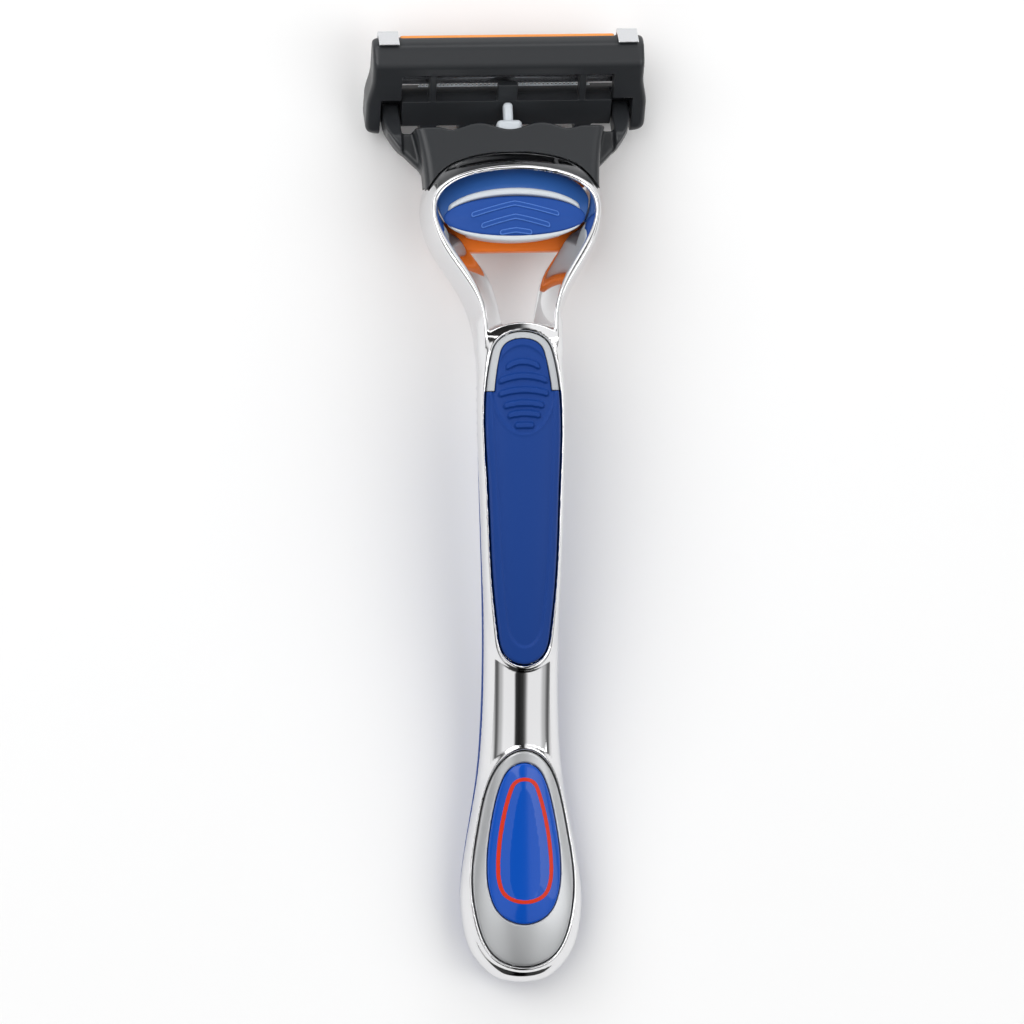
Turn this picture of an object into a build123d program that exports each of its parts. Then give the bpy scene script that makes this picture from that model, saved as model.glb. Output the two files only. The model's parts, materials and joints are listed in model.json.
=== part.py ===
"""Five-blade cartridge razor: plated handle, soft grips, push-off button, spring plunger, pivoting cartridge.

Millimetres. X runs across the razor, +Y runs from the tail to the blades, +Z is up with the razor lying on
its blades and tail. Three frames are used: the handle's own (y from the tail's end, z from the table), the
head's (tilted nose down with the ring) and the blade unit's (tilted with the shaving plane, z towards its
back).
"""

from build123d import *

import math
import os

# ---------------------------------------------------------------- driving dimensions
NOSE_DOWN = 12.0  # degrees the ring and the dock tip down from the table
HEAD_Y, HEAD_Z = 109.0, 13.8  # centre of the ring above the table
RING_TOP, RING_LOW = 4.3, -4.3  # the ring's faces in the head frame
COLLAR_W = 1.5  # height at which the ring's sloped collar meets its front wall

REST_TILT = 40.0  # degrees the shaving plane rises forward at rest
UNIT_Y = 134.0  # centre of the shaving face
UNIT_LENGTH, UNIT_DEPTH, UNIT_THICK = 41.6, 15.8, 5.0
UNIT_Z = UNIT_DEPTH / 2 * math.sin(math.radians(REST_TILT))
PIVOT_A, PIVOT_N = -4.9, 3.0  # the pivot in the blade unit's frame
PIVOT_R = 1.0
PIVOT_RANGE = 40.0  # degrees the blade unit can turn back from rest

SHIELD_LOW, SHIELD_TOP = 0.1, 2.8  # the shield stands above the button's tabs
PLUNGER_W = -1.0  # height of the plunger's line in the head frame
PLUNGER_NOSE_R, PLUNGER_THICK = 0.9, 1.4
PLUNGER_NOSE_U = 20.4  # centre of the rounded nose at rest
PLUNGER_RETREAT = 2.75  # how far the turning blade unit drives the plunger in
EJECT_TRAVEL = 1.5
BLADE_FLOAT = 0.2
RUNNING_GAP = 0.05

HEAD = Location((0, HEAD_Y, HEAD_Z), (-NOSE_DOWN, 0, 0))
UNIT = Location((0, UNIT_Y, UNIT_Z), (REST_TILT, 0, 0))

# handle stations: y, width, lowest z, highest z, squareness of the section (2 is an ellipse)
STATIONS = [
    (0.35, 5.6, 4.6, 8.0, 2.0),
    (1.6, 10.2, 2.9, 9.3, 2.1),
    (4.2, 14.6, 1.35, 10.3, 2.2),
    (8.0, 17.2, 0.45, 11.0, 2.3),
    (12.7, 18.0, 0.2, 11.3, 2.4),
    (18.3, 16.8, 0.2, 11.7, 2.4),
    (24.0, 14.8, 0.25, 12.2, 2.4),
    (30.0, 12.8, 0.8, 12.9, 2.4),
    (37.0, 11.6, 2.2, 14.1, 2.4),
    (48.0, 11.1, 5.2, 16.9, 2.5),
    (60.0, 11.5, 8.2, 19.7, 2.7),
    (74.0, 12.2, 10.8, 21.5, 3.0),
    (86.0, 12.5, 12.3, 21.9, 3.4),
    (98.0, 12.5, 12.3, 20.5, 3.8),
]

# the line where the back grip meets the plated frame, seen from the side
PARTING = [(-2, 4.3), (8, 4.5), (20, 5.5), (34, 8.2), (50, 12.2), (62, 14.9), (72, 16.2), (80, 15.6),
           (85, 13.6), (88.5, 11.5)]

# thumb pad and tail plate, seen from above: (half width, y) up one side
PAD_TOP, PAD_LOW = 95.8, 46.9
PAD_SIDE = [(2.6, 48.0), (3.9, 51.5), (4.75, 60.0), (5.35, 74.0), (5.55, 86.0), (4.6, 92.3), (2.6, 95.2)]
PAD_DEPTH, PAD_BASE_THICK, PAD_PROUD, CRESCENT = 1.9, 0.6, 0.35, 1.3
PLATE_TOP, PLATE_LOW = 34.4, 2.3
PLATE_SIDE = [(3.4, 3.2), (5.6, 5.5), (7.0, 9.5), (7.6, 15.0), (6.7, 22.5), (4.9, 30.0), (2.2, 33.7)]
PLATE_DEPTH = 1.6
LENS_TOP, LENS_LOW = 32.5, 8.7
LENS_SIDE = [(3.0, 9.7), (4.9, 12.6), (5.45, 17.0), (4.7, 24.0), (3.2, 29.8), (1.6, 32.0)]
ACCENT_TOP, ACCENT_LOW = 30.4, 11.7
ACCENT_SIDE = [(2.4, 12.3), (3.9, 14.2), (4.25, 17.5), (3.6, 23.5), (2.3, 28.6), (1.2, 30.1)]
ACCENT_WIDTH = 0.7
INLAY_TOP, INLAY_LOW = 31.0, 6.4
INLAY_SIDE = [(2.7, 7.3), (4.4, 10.4), (4.8, 14.5), (4.1, 22.0), (2.7, 28.4), (1.3, 30.6)]
INLAY_THICK = 1.3

NECK_Y = 88.5  # the frame is the full section from here to the ring
BUMPS, BUMP_FIRST, BUMP_PITCH = 5, 80.8, 1.7  # knurl on each side of the neck

BLADES, BLADE_PITCH, BLADE_LENGTH = 5, 0.95, 34.4
FIRST_BLADE_A = -0.9
BLADE_WIDTH, BLADE_THICK, BLADE_RAKE = 1.5, 0.1, 25.0
STRIP_LENGTH, STRIP_WIDTH = 31.8, 2.7
GUARD_SLOTS = [(3.1, 2.9), (8.6, 3.3), (14.1, 2.8)]  # middle and width of the openings between the guard's knuckles
REACH = 60.0  # longer than any cut has to be


# ---------------------------------------------------------------- shared shapes
def planform(side, top, low, grow=0.0):
    """A closed, mirrored outline in the plan view; grow moves it outwards."""
    middle = (top + low) / 2
    half = (top - low) / 2
    spread = [((x + grow), middle + (y - middle) * (half + grow) / half) for x, y in side]
    right = [(0, low - grow), *spread, (0, top + grow)]
    left = [(-x, y) for x, y in reversed(spread)]
    return make_face(Spline(*right, *left, periodic=True))


def column(face, low=-5.0, high=40.0):
    """The plan outline raised into a prism."""
    return extrude(Pos(0, 0, low) * face, amount=high - low, dir=(0, 0, 1))


def side_region(points, upwards, lift=0.0):
    """Everything above (or below) a side-view curve, across the whole width."""
    curve = [(0, y, z + lift) for y, z in points]
    far = REACH if upwards else -REACH
    first, last = curve[0], curve[-1]
    wall = [Spline(*curve), Line(last, (0, last[1], far)), Line((0, last[1], far), (0, first[1], far)),
            Line((0, first[1], far), first)]
    return extrude(make_face(wall), amount=REACH / 2, dir=(1, 0, 0), both=True)


def station_curve(which, lift=0.0):
    """The handle's lowest (2) or highest (3) line in the side view."""
    return [(s[0], s[which] + lift) for s in STATIONS]


def superellipse(y, width, low, high, power, count=28):
    """One handle section as a closed curve."""
    middle, half = (low + high) / 2, (high - low) / 2
    points = []
    for i in range(count):
        t = math.tau * (i + 0.5) / count
        c, s = math.cos(t), math.sin(t)
        x = math.copysign(abs(c) ** (2 / power), c) * width / 2
        z = math.copysign(abs(s) ** (2 / power), s) * half + middle
        points.append((x, y, z))
    return Wire([Spline(*points, periodic=True)])


def handle_envelope():
    """The handle's outer form, from the tail to the fork's root."""
    return Solid.make_loft([superellipse(*s) for s in STATIONS])


def head_outline(points, root_u, root_half, w):
    """The bulb shape of the head at one height: from the root round the front and back."""
    right = [(root_half, root_u), *points]
    front = [(x, u, w) for x, u in right]
    back = [(-x, u, w) for x, u in reversed(right) if x > 0]
    return Wire([Spline(*front, *back), Line((-root_half, root_u, w), (root_half, root_u, w))])


HEAD_TOP = [(6.3, -9.5), (8.3, -5.8), (11.0, -1.4), (12.4, 3.6), (10.2, 8.2), (5.4, 10.0), (0, 10.5)]
HEAD_COLLAR = [(7.0, -9.2), (9.2, -5.2), (12.0, -0.4), (13.1, 4.6), (11.2, 10.2), (6.2, 12.9), (0, 13.6)]
HEAD_LOW = [(7.4, -9.0), (9.6, -4.6), (12.4, 0.3), (13.45, 5.2), (11.6, 10.6), (6.6, 13.4), (0, 14.2)]


def head_solid(grow=0.0):
    """The ring and fork before their opening is cut; grow makes the clearance tool for the cartridge."""
    def grown(points):
        return [(x + grow if x else 0, u + grow) for x, u in points]

    top = head_outline(grown(HEAD_TOP), -17.0, 5.75 + grow, RING_TOP + grow)
    collar = head_outline(grown(HEAD_COLLAR), -17.0, 6.1 + grow, COLLAR_W)
    low = head_outline(grown(HEAD_LOW), -17.0, 6.2 + grow, RING_LOW - grow)
    return Solid.make_loft([top, collar], ruled=True) + Solid.make_loft([collar, low], ruled=True)


def opening_outline(points, corner, arch_u, w):
    """The fork's opening at one height: bulb sides and an arched root."""
    right = [corner, *points]
    front = [(x, u, w) for x, u in right]
    back = [(-x, u, w) for x, u in reversed(right) if x > 0]
    arch = ThreePointArc((-corner[0], corner[1], w), (0, arch_u, w), (corner[0], corner[1], w))
    return Wire([Spline(*front, *back), arch])


OPEN_TOP = [(5.6, -9.5), (7.2, -5.8), (9.9, -1.4), (11.75, 3.4), (9.6, 7.6), (5.0, 9.3), (0, 9.75)]
OPEN_MID = [(2.7, -8.0), (4.1, -4.3), (7.6, -0.4), (11.0, 4.0), (10.0, 8.6), (5.6, 11.5), (0, 12.3)]
OPEN_LOW = [(5.3, -9.0), (7.2, -5.2), (9.4, -1.2), (10.9, 4.0), (9.6, 8.2), (5.0, 10.2), (0, 10.8)]


def opening():
    """The fork's opening: it narrows to a ridge half way down and widens again below."""
    top = opening_outline(OPEN_TOP, (4.86, -14.4), -13.1, RING_TOP + 0.01)
    mid = opening_outline(OPEN_MID, (1.85, -12.6), -12.3, 0.0)
    low = opening_outline(OPEN_LOW, (4.2, -13.4), -12.6, RING_LOW - 0.01)
    above = opening_outline(OPEN_TOP, (4.86, -14.4), -13.1, RING_TOP + 6)
    below = opening_outline(OPEN_LOW, (4.2, -13.4), -12.6, RING_LOW - 6)
    cut = Solid.make_loft([top, mid], ruled=True) + Solid.make_loft([mid, low], ruled=True)
    return cut + Solid.make_loft([above, top], ruled=True) + Solid.make_loft([low, below], ruled=True)


# ---------------------------------------------------------------- the handle's pieces
DOME_U, DOME_A, DOME_B = 8.0, 11.7, 8.35  # the dock's plan ellipse: centre, half width, half depth
DOME_LOW, DOME_HIGH, DOME_ROUND = -3.2, 1.2, 1.1
DOCK_REAR_U = 9.75  # the dock is set into the ring from here on
SPIGOT_R, SPIGOT_REAR, SPIGOT_LONG = 2.55, 11.1, 2.6  # the dock's tail in the ring's bore
SPRING_BORE_R, SPRING_SEAT_U = 1.9, 11.5
POST_BORE_R = 1.2
SHIELD_ROOM_U = 12.0  # well ahead of the pushed button's shield
TAB_X, TAB_WIDE, TAB_HIGH, TAB_W = 7.6, 2.6, 1.5, -1.6  # the button's push-off tabs
TAB_GAP = 0.3  # slots are this much wider and higher than the tabs
KEEL_HALF, KEEL_THICK = 3.1, 1.9  # the frame's spine inside the back grip
KNURL_X, KNURL_Z = 5.9, 17.3
PLATE_PROUD, LENS_PROUD = 0.12, 0.45
PLAY = 0.03  # how much smaller than its pocket a let-in piece is cut


def tab_slot(x):
    """The slot that one of the button's tabs slides in."""
    return Pos(x, 12, TAB_W) * Box(TAB_WIDE + TAB_GAP, 8, TAB_HIGH + TAB_GAP)


def handle_pieces(envelope):
    head = head_solid()
    pad_floor = station_curve(3, -PAD_DEPTH)
    plate_floor = station_curve(3, -PLATE_DEPTH)
    pad_pocket = column(planform(PAD_SIDE, PAD_TOP, PAD_LOW)) & side_region(pad_floor, True)
    plate_pocket = column(planform(PLATE_SIDE, PLATE_TOP, PLATE_LOW)) & side_region(plate_floor, True)

    over_parting = side_region(PARTING, True)
    upper = envelope & over_parting
    # beyond the grip's front end the frame is the full section
    neck = envelope & Pos(0, NECK_Y + REACH / 2, 10) * Box(REACH, REACH, REACH)
    keel_points = [(y, z) for y, z in station_curve(2, KEEL_THICK) if 6 < y < NECK_Y]
    keel_top = [(y, z + 1.0) for y, z in PARTING if 6 < y < NECK_Y]
    keel_face = make_face(Polyline(*[(0, y, z) for y, z in keel_points + keel_top[::-1]], close=True))
    keel = extrude(keel_face, amount=KEEL_HALF, dir=(1, 0, 0), both=True)

    frame = upper + neck + keel + HEAD * head
    frame = frame - HEAD * opening() - pad_pocket - plate_pocket
    bore = Pos(0, 12.5, PLUNGER_W) * Rot(90, 0, 0) * Cylinder(SPIGOT_R + RUNNING_GAP, 6)
    frame = frame - HEAD * bore
    for x in (-TAB_X, TAB_X):
        frame = frame - HEAD * tab_slot(x)
    for side in (-1, 1):
        for i in range(BUMPS):
            y = BUMP_FIRST + i * BUMP_PITCH
            frame = frame + Pos(side * KNURL_X, y, KNURL_Z) * Box(1.1, 0.7, 2.6)

    grip = (envelope & side_region(PARTING, False)) - keel
    inlay_column = column(planform(INLAY_SIDE, INLAY_TOP, INLAY_LOW), low=-1, high=INLAY_THICK)
    inlay = column(planform(INLAY_SIDE, INLAY_TOP, INLAY_LOW), low=0, high=INLAY_THICK)
    inlay = chamfer(inlay.faces().sort_by(Axis.Z)[0].edges(), 0.15)
    grip = grip - inlay_column

    pad_plan = planform(PAD_SIDE, PAD_TOP, PAD_LOW, -0.02)
    blue_plan = pad_plan & (Pos(0, -CRESCENT, 0) * pad_plan)
    over_floor = side_region(pad_floor, True)
    seat_top = station_curve(3, -PAD_DEPTH + PAD_BASE_THICK)
    base = column(pad_plan) & over_floor & side_region(seat_top, False)
    crescent = (Pos(0, 0, 0.1) * envelope) & column(pad_plan - blue_plan) & over_floor
    base = base + crescent
    pad = (Pos(0, 0, PAD_PROUD) * envelope) & column(blue_plan) & side_region(seat_top, True)

    plate = Pos(0, 0, PLATE_PROUD) * envelope & column(planform(PLATE_SIDE, PLATE_TOP, PLATE_LOW, -PLAY))
    plate = plate & side_region(plate_floor, True)
    lens_column = column(planform(LENS_SIDE, LENS_TOP, LENS_LOW))
    lens_floor = station_curve(3, -PLATE_DEPTH + 0.5)
    plate = plate - (lens_column & side_region(lens_floor, True))
    lens = Pos(0, 0, LENS_PROUD) * envelope & column(planform(LENS_SIDE, LENS_TOP, LENS_LOW, -PLAY))
    lens = lens & side_region(lens_floor, True)
    accent_outer = column(planform(ACCENT_SIDE, ACCENT_TOP, ACCENT_LOW))
    accent_inner = column(planform(ACCENT_SIDE, ACCENT_TOP, ACCENT_LOW, -ACCENT_WIDTH))
    accent = (accent_outer - accent_inner) & side_region(lens_floor, True)
    accent = accent & side_region(station_curve(3, -PLATE_DEPTH + 0.8), False)
    lens = lens - accent
    return {
        "chrome_frame": frame,
        "back_grip": grip,
        "back_inlay": inlay,
        "thumb_pad_base": base,
        "thumb_pad": pad,
        "tail_plate": plate,
        "tail_lens": lens,
        "accent_ring": accent,
    }


def dock_pieces():
    """The dock that the cartridge slides on, the plunger in it and the spring behind the plunger."""
    dome = extrude(Pos(0, DOME_U, DOME_LOW) * Ellipse(DOME_A, DOME_B), amount=DOME_HIGH - DOME_LOW)
    flats = dome.faces().sort_by(Axis.Z)
    dome = fillet(flats[-1].edges() + flats[0].edges(), DOME_ROUND)
    guide = Pos(0, 15.7, PLUNGER_W) * Box(5.2, 5.4, 3.4)
    guide = fillet(guide.edges().filter_by(Axis.Y), 0.5)
    dome = dome + guide
    dome = dome - head_solid() - Box(REACH, 2 * DOCK_REAR_U, REACH)
    spigot_mid = SPIGOT_REAR + SPIGOT_LONG / 2
    spigot = Pos(0, spigot_mid, PLUNGER_W) * Rot(90, 0, 0) * Cylinder(SPIGOT_R, SPIGOT_LONG)
    shield_room = Pos(0, SHIELD_ROOM_U - 5, 5) * Box(REACH, 10, 10)
    dome = dome + (spigot - shield_room)
    dome = dome - Pos(0, SPRING_SEAT_U + 2.6, PLUNGER_W) * Rot(90, 0, 0) * Cylinder(SPRING_BORE_R, 5.2)
    dome = dome - Pos(0, 12.0, PLUNGER_W) * Rot(90, 0, 0) * Cylinder(POST_BORE_R, 5.0)
    slot_wide, slot_high = PLUNGER_THICK + 2 * RUNNING_GAP, 2 * (PLUNGER_NOSE_R + RUNNING_GAP)
    dome = dome - Pos(0, 17, PLUNGER_W) * Box(slot_wide, 6, slot_high)
    for x in (-TAB_X, TAB_X):
        dome = dome - tab_slot(x)

    rod_back, flange_back, flange_front = 15.4, 14.6, 15.6
    rod_long = PLUNGER_NOSE_U - rod_back
    rod = Pos(0, rod_back + rod_long / 2, PLUNGER_W) * Box(PLUNGER_THICK, rod_long, 2 * PLUNGER_NOSE_R)
    nose = Pos(0, PLUNGER_NOSE_U, PLUNGER_W) * Rot(0, 90, 0) * Cylinder(PLUNGER_NOSE_R, PLUNGER_THICK)
    flange_mid, flange_long = (flange_back + flange_front) / 2, flange_front - flange_back
    flange = Pos(0, flange_mid, PLUNGER_W) * Rot(90, 0, 0) * Cylinder(SPRING_BORE_R - 0.1, flange_long)
    plunger = rod + nose + flange

    turns, wire_r, coil_r, long = 3, 0.16, 1.45, 2.9
    helix = Helix(pitch=(long - 2 * wire_r) / turns, height=long - 2 * wire_r, radius=coil_r)
    start = helix @ 0
    ring = Plane(origin=start, z_dir=helix % 0) * Circle(wire_r)
    coil = sweep(ring, path=helix)
    spring = Pos(0, flange_back - wire_r - 0.02, PLUNGER_W) * Rot(90, 0, 0) * coil
    return {"dock_block": HEAD * dome, "plunger": HEAD * plunger, "plunger_spring": HEAD * spring}


CORE_LOW, PAD_SEAT_W = -2.4, 1.5  # the core's under side, and the seat of its soft pad
POST_R = 1.0
UNDER_LOW = -3.9
UNDER_REAR, UNDER_STRAIGHT = -0.8, 6.9  # the under pad's straight rear edge and its half length


def eye_face(half, tip_u, rear_u, front_u):
    """A pointed oval: two arcs that meet at its tips."""
    right, left = (half, tip_u), (-half, tip_u)
    return make_face([ThreePointArc(left, (0, rear_u), right), ThreePointArc(right, (0, front_u), left)])


def ejector_pieces():
    """The push-off button: a light core, a soft pad and a front shield above, a coloured pad below."""
    core = extrude(Pos(0, 0, CORE_LOW) * eye_face(10.2, 3.6, -0.6, 7.6), amount=PAD_SEAT_W - CORE_LOW)
    post = Pos(0, 8.35, PLUNGER_W) * Rot(90, 0, 0) * Cylinder(POST_R, 2.3)
    core = core + post
    for x in (-TAB_X, TAB_X):
        core = core + Pos(x, 8.2, TAB_W) * Box(TAB_WIDE, 6.4, TAB_HIGH)
    pad = extrude(Pos(0, 0, PAD_SEAT_W) * eye_face(9.9, 3.6, 0.2, 6.0), amount=1.1)
    foot = eye_face(9.9, 4.5, 6.9, 9.7)
    crest = eye_face(9.8, 3.8, 6.9, 7.8)
    shield = loft([Pos(0, 0, SHIELD_LOW) * foot, Pos(0, 0, SHIELD_TOP) * crest], ruled=True)
    core = core - shield
    rear = Line((-UNDER_STRAIGHT, UNDER_REAR), (UNDER_STRAIGHT, UNDER_REAR))
    front = Spline((UNDER_STRAIGHT, UNDER_REAR), (8.7, 0.2), (9.9, 2.8), (6.6, 6.5), (0, 7.6), (-6.6, 6.5),
                   (-9.9, 2.8), (-8.7, 0.2), (-UNDER_STRAIGHT, UNDER_REAR))
    under = extrude(Pos(0, 0, UNDER_LOW) * make_face([rear, front]), amount=CORE_LOW - UNDER_LOW)
    return {
        "ejector_core": HEAD * core,
        "ejector_pad": HEAD * pad,
        "ejector_shield": HEAD * shield,
        "ejector_under_pad": HEAD * under,
    }


# ---------------------------------------------------------------- the cartridge
ARM_IN, ARM_OUT = 15.8, 18.4
EYE_R, PIN_LONG, WING_THICK = 1.7, 1.7, 2.4
YOKE_WALL = 1.0
SLEEVE_GAP, SLEEVE_GAP_W, RING_GAP = 0.2, 0.15, 0.12  # the cartridge's clearance round the dock and the ring


def pivot_in_head():
    """The pivot's place in the head frame."""
    point = (HEAD.inverse() * UNIT * Pos(0, PIVOT_A, PIVOT_N)).position
    return point.Y, point.Z


def yoke_arm(side, low, high):
    """One arm with its curved wing, eye and pivot pin, in the head frame."""
    pivot_u, pivot_w = pivot_in_head()
    middle = side * (ARM_IN + ARM_OUT) / 2
    disc = Pos(middle, pivot_u, pivot_w) * Rot(0, 90, 0) * Cylinder(EYE_R, ARM_OUT - ARM_IN)
    # the shank meets the eye on the eye's diameter that lies square to it
    across_u, across_w = 0.9, 1.44
    shank_side = [(14.2, low), (14.8, high - 1.8), (17.0, high - 2.4), (pivot_u + across_u, pivot_w + across_w),
                  (pivot_u - across_u, pivot_w - across_w)]
    shank_face = make_face(Polyline(*[(middle, u, w) for u, w in shank_side], close=True))
    shank = extrude(shank_face, amount=(ARM_OUT - ARM_IN) / 2, dir=(1, 0, 0), both=True)
    inner, root, tip = side * 12.0, side * 12.6, side * ARM_OUT
    wing_plan = make_face([Line((inner, 8.5), (root, 8.5)),
                           ThreePointArc((root, 8.5), (side * 16.4, 11.8), (tip, 16.4)),
                           Line((tip, 16.4), (inner, 16.4)), Line((inner, 16.4), (inner, 8.5))])
    wing = extrude(Pos(0, 0, low) * wing_plan, amount=WING_THICK, dir=(0, 0, 1))
    pin_mid = side * (ARM_OUT + PIN_LONG / 2)
    pin = Pos(pin_mid, pivot_u, pivot_w) * Rot(0, 90, 0) * Cylinder(PIVOT_R, PIN_LONG)
    return disc + shank + wing + pin


def yoke_piece():
    """The connector: a sleeve on the dock with an arm to each end of the blade unit."""
    low, high = DOME_LOW - YOKE_WALL, DOME_HIGH + YOKE_WALL
    right = [(12.7, 6.0), (13.2, 12.0), (14.6, 16.2), (15.6, 18.0), (10.0, 18.0), (4.5, 17.2)]
    left = [(-x, u) for x, u in reversed(right)]
    plan = make_face(Polyline(*right, (0, 16.6), *left, close=True))
    body = extrude(Pos(0, 0, low) * plan, amount=high - low)
    shoulders = body.edges().filter_by(lambda e: abs(e.center().Z - high) < 0.01 and abs(e.center().X) > 12.5)
    body = fillet(shoulders, 0.6)
    yoke = body + yoke_arm(-1, low, high) + yoke_arm(1, low, high)
    inside_mid, inside_high = (DOME_LOW + DOME_HIGH) / 2, DOME_HIGH - DOME_LOW + 2 * SLEEVE_GAP_W
    plan_a, plan_b = DOME_A + SLEEVE_GAP, DOME_B + SLEEVE_GAP
    cavity = extrude(Pos(0, DOME_U, DOME_LOW - SLEEVE_GAP_W) * Ellipse(plan_a, plan_b), amount=inside_high)
    tunnel = Pos(0, DOME_U + 10, inside_mid) * Box(20.6, 20, inside_high)
    behind = Pos(0, DOME_U - 5, inside_mid) * Box(2 * plan_a, 10, inside_high)
    yoke = yoke - cavity - tunnel - behind - head_solid(RING_GAP)
    return HEAD * yoke


def along_x(face, half):
    return extrude(face, amount=half, dir=(1, 0, 0), both=True)


def unit_profile(points):
    """A closed outline in the blade unit's side view: (a, n) pairs."""
    return make_face(Polyline(*[(0, a, n) for a, n in points], close=True))


def blade_unit_pieces():
    """Housing, guard fins, lubricating strip and end clips, in the blade unit's frame."""
    half_a = UNIT_DEPTH / 2
    half_x = UNIT_LENGTH / 2
    side = [(-half_a, 0.9), (-half_a + 0.9, 0), (half_a - 0.6, 0), (half_a, 0.6), (half_a, 2.6),
            (half_a - 2.4, UNIT_THICK), (-half_a + 1.2, UNIT_THICK), (-half_a, 3.9)]
    housing = along_x(unit_profile(side), half_x)
    ends = housing.edges().filter_by(lambda e: abs(abs(e.center().X) - half_x) < 0.01)
    housing = chamfer(ends, 0.45)
    blade_zone = Pos(0, FIRST_BLADE_A + 2.35, 1.4) * Box(BLADE_LENGTH + 0.8, BLADES * BLADE_PITCH + 1.2, 2.9)
    wash = Pos(0, FIRST_BLADE_A + 2.2, 3) * Box(BLADE_LENGTH - 3.0, BLADES * BLADE_PITCH, 6)
    tray_a = half_a - STRIP_WIDTH / 2 - 0.5
    tray = Pos(0, tray_a, 0.5) * Box(STRIP_LENGTH + 0.1, STRIP_WIDTH + 0.1, 1.4)
    fin_a = -half_a + 4.3
    fin_seat = Pos(0, fin_a, 0.6) * Box(36.1, 3.3, 1.4)
    housing = housing - blade_zone - wash - tray - fin_seat
    for middle, wide in GUARD_SLOTS:
        for x in (-middle, middle):
            housing = housing - Pos(x, -half_a + 1.0, 1.5) * Box(wide, 2.7, 9)
    rod = Pos(0, -half_a + 1.5, 1.6) * Rot(0, 90, 0) * Cylinder(0.42, 31.6)
    housing = housing + rod
    for x in (-11.1, 11.1):  # posts that carry the blades' middles
        post = Pos(x, FIRST_BLADE_A + 2.2, 3.85) * Box(1.0, BLADES * BLADE_PITCH + 0.4, 2.2)
        housing = housing + post
    # the plunger's track across the window
    cam = Pos(0, FIRST_BLADE_A + 0.6, UNIT_THICK - 0.6) * Box(3.0, 4.0, 1.2)
    housing = housing + cam
    for side_x in (-1, 1):  # room for the yoke's arms, and the pivot's seats in the end ears
        gap_mid = side_x * (ARM_IN + ARM_OUT) / 2
        gap = Pos(gap_mid, -half_a + 3.4, 4.2) * Box(ARM_OUT - ARM_IN + 0.5, 7.4, 5.9)
        seat = Pos(side_x * (ARM_OUT + 0.9), PIVOT_A, PIVOT_N) * Rot(0, 90, 0)
        housing = housing - gap - seat * Cylinder(PIVOT_R + RUNNING_GAP, 2.0)

    fins = Pos(0, fin_a, 0.9) * Box(36.0, 3.2, 0.7)
    for i in range(5):
        fins = fins + Pos(0, fin_a - 1.2 + 0.6 * i, 0.45) * Box(35.6, 0.28, 0.6)
    strip = Pos(0, tray_a, 0.42) * Box(STRIP_LENGTH, STRIP_WIDTH, 1.24)
    strip = fillet(strip.faces().sort_by(Axis.Z)[0].edges().filter_by(Axis.X), 0.3)
    clips = {}
    for name, side_x in (("clip_left", -1), ("clip_right", 1)):
        front = Pos(side_x * 18.0, 1.9, -0.12) * Box(2.0, 7.0, 0.22)
        hook = Pos(side_x * 17.7, 6.4, -0.12) * Box(2.9, 2.4, 0.22)
        wrap = Pos(side_x * 17.7, half_a + 0.12, 1.4) * Box(2.9, 0.22, 3.26)
        tongue = Pos(side_x * 17.7, 7.6, -0.12) * Box(2.9, 0.84, 0.22)
        foot = Pos(side_x * 18.0, -1.5, 1.4) * Box(2.0, 0.22, 3.2)
        clips[name] = front + hook + tongue + wrap + foot
        housing = housing - Pos(side_x * 18.0, -1.5, 1.5) * Box(2.1, 0.3, 3.4)
    pieces = {"cartridge_housing": housing, "guard_fins": fins, "lube_strip": strip, **clips}
    return {name: UNIT * shape for name, shape in pieces.items()}


def blade_pieces():
    """Five blades, each on its own bent support."""
    pieces = {}
    rake = Rot(BLADE_RAKE, 0, 0)
    for i in range(BLADES):
        a = FIRST_BLADE_A + i * BLADE_PITCH
        place = Pos(0, a, 0.12)
        edge = unit_profile([(0, 0), (BLADE_WIDTH * 0.25, BLADE_THICK / 2), (BLADE_WIDTH, BLADE_THICK / 2),
                             (BLADE_WIDTH, -BLADE_THICK / 2), (BLADE_WIDTH * 0.25, -BLADE_THICK / 2)])
        blade = place * rake * along_x(edge, BLADE_LENGTH / 2)
        bent = unit_profile([(0.45, 0.06), (1.45, 0.06), (1.45, 0.16), (0.45, 0.16)])
        arm = place * rake * along_x(bent, BLADE_LENGTH / 2)
        leg_top = (place * rake * Pos(0, 1.4, 0.11)).position
        leg = Pos(0, leg_top.Y, leg_top.Z + 0.75) * Box(BLADE_LENGTH, 0.12, 1.5)
        pieces[f"blade_{i + 1}"] = UNIT * blade
        pieces[f"blade_support_{i + 1}"] = UNIT * (arm + leg)
    return pieces


def build():
    """Every piece by name, in the razor's frame: origin at the bottom centre of its box."""
    envelope = handle_envelope()
    pieces = {**handle_pieces(envelope), **dock_pieces(), **ejector_pieces(), "yoke": yoke_piece(),
              **blade_unit_pieces(), **blade_pieces()}
    boxes = [shape.bounding_box() for shape in pieces.values()]
    middle = (min(b.min.Y for b in boxes) + max(b.max.Y for b in boxes)) / 2
    floor = min(b.min.Z for b in boxes)
    shift = Pos(0, -middle, -floor)
    return {name: shift * shape for name, shape in pieces.items()}, shift


PIECES, SHIFT = build()
os.makedirs("parts", exist_ok=True)
for NAME, SHAPE in PIECES.items():
    export_step(SHAPE, f"parts/{NAME}.step")
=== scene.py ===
"""The cartridge razor's looks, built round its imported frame.

Curved pieces are smooth fields: a function that is negative inside the piece, zero on its surface and
about the distance in millimetres elsewhere. skin() turns one into a mesh. Fields are written in three
frames, all in millimetres with x across the razor: the handle's (y from the tail's end, z up), the head's
(u ahead, w up, tilted nose down with the ring) and the blade unit's (a towards the cap, n into the back).
"""

import json
import math

import bpy
import numpy as np
from mathutils import Matrix, Vector


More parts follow.
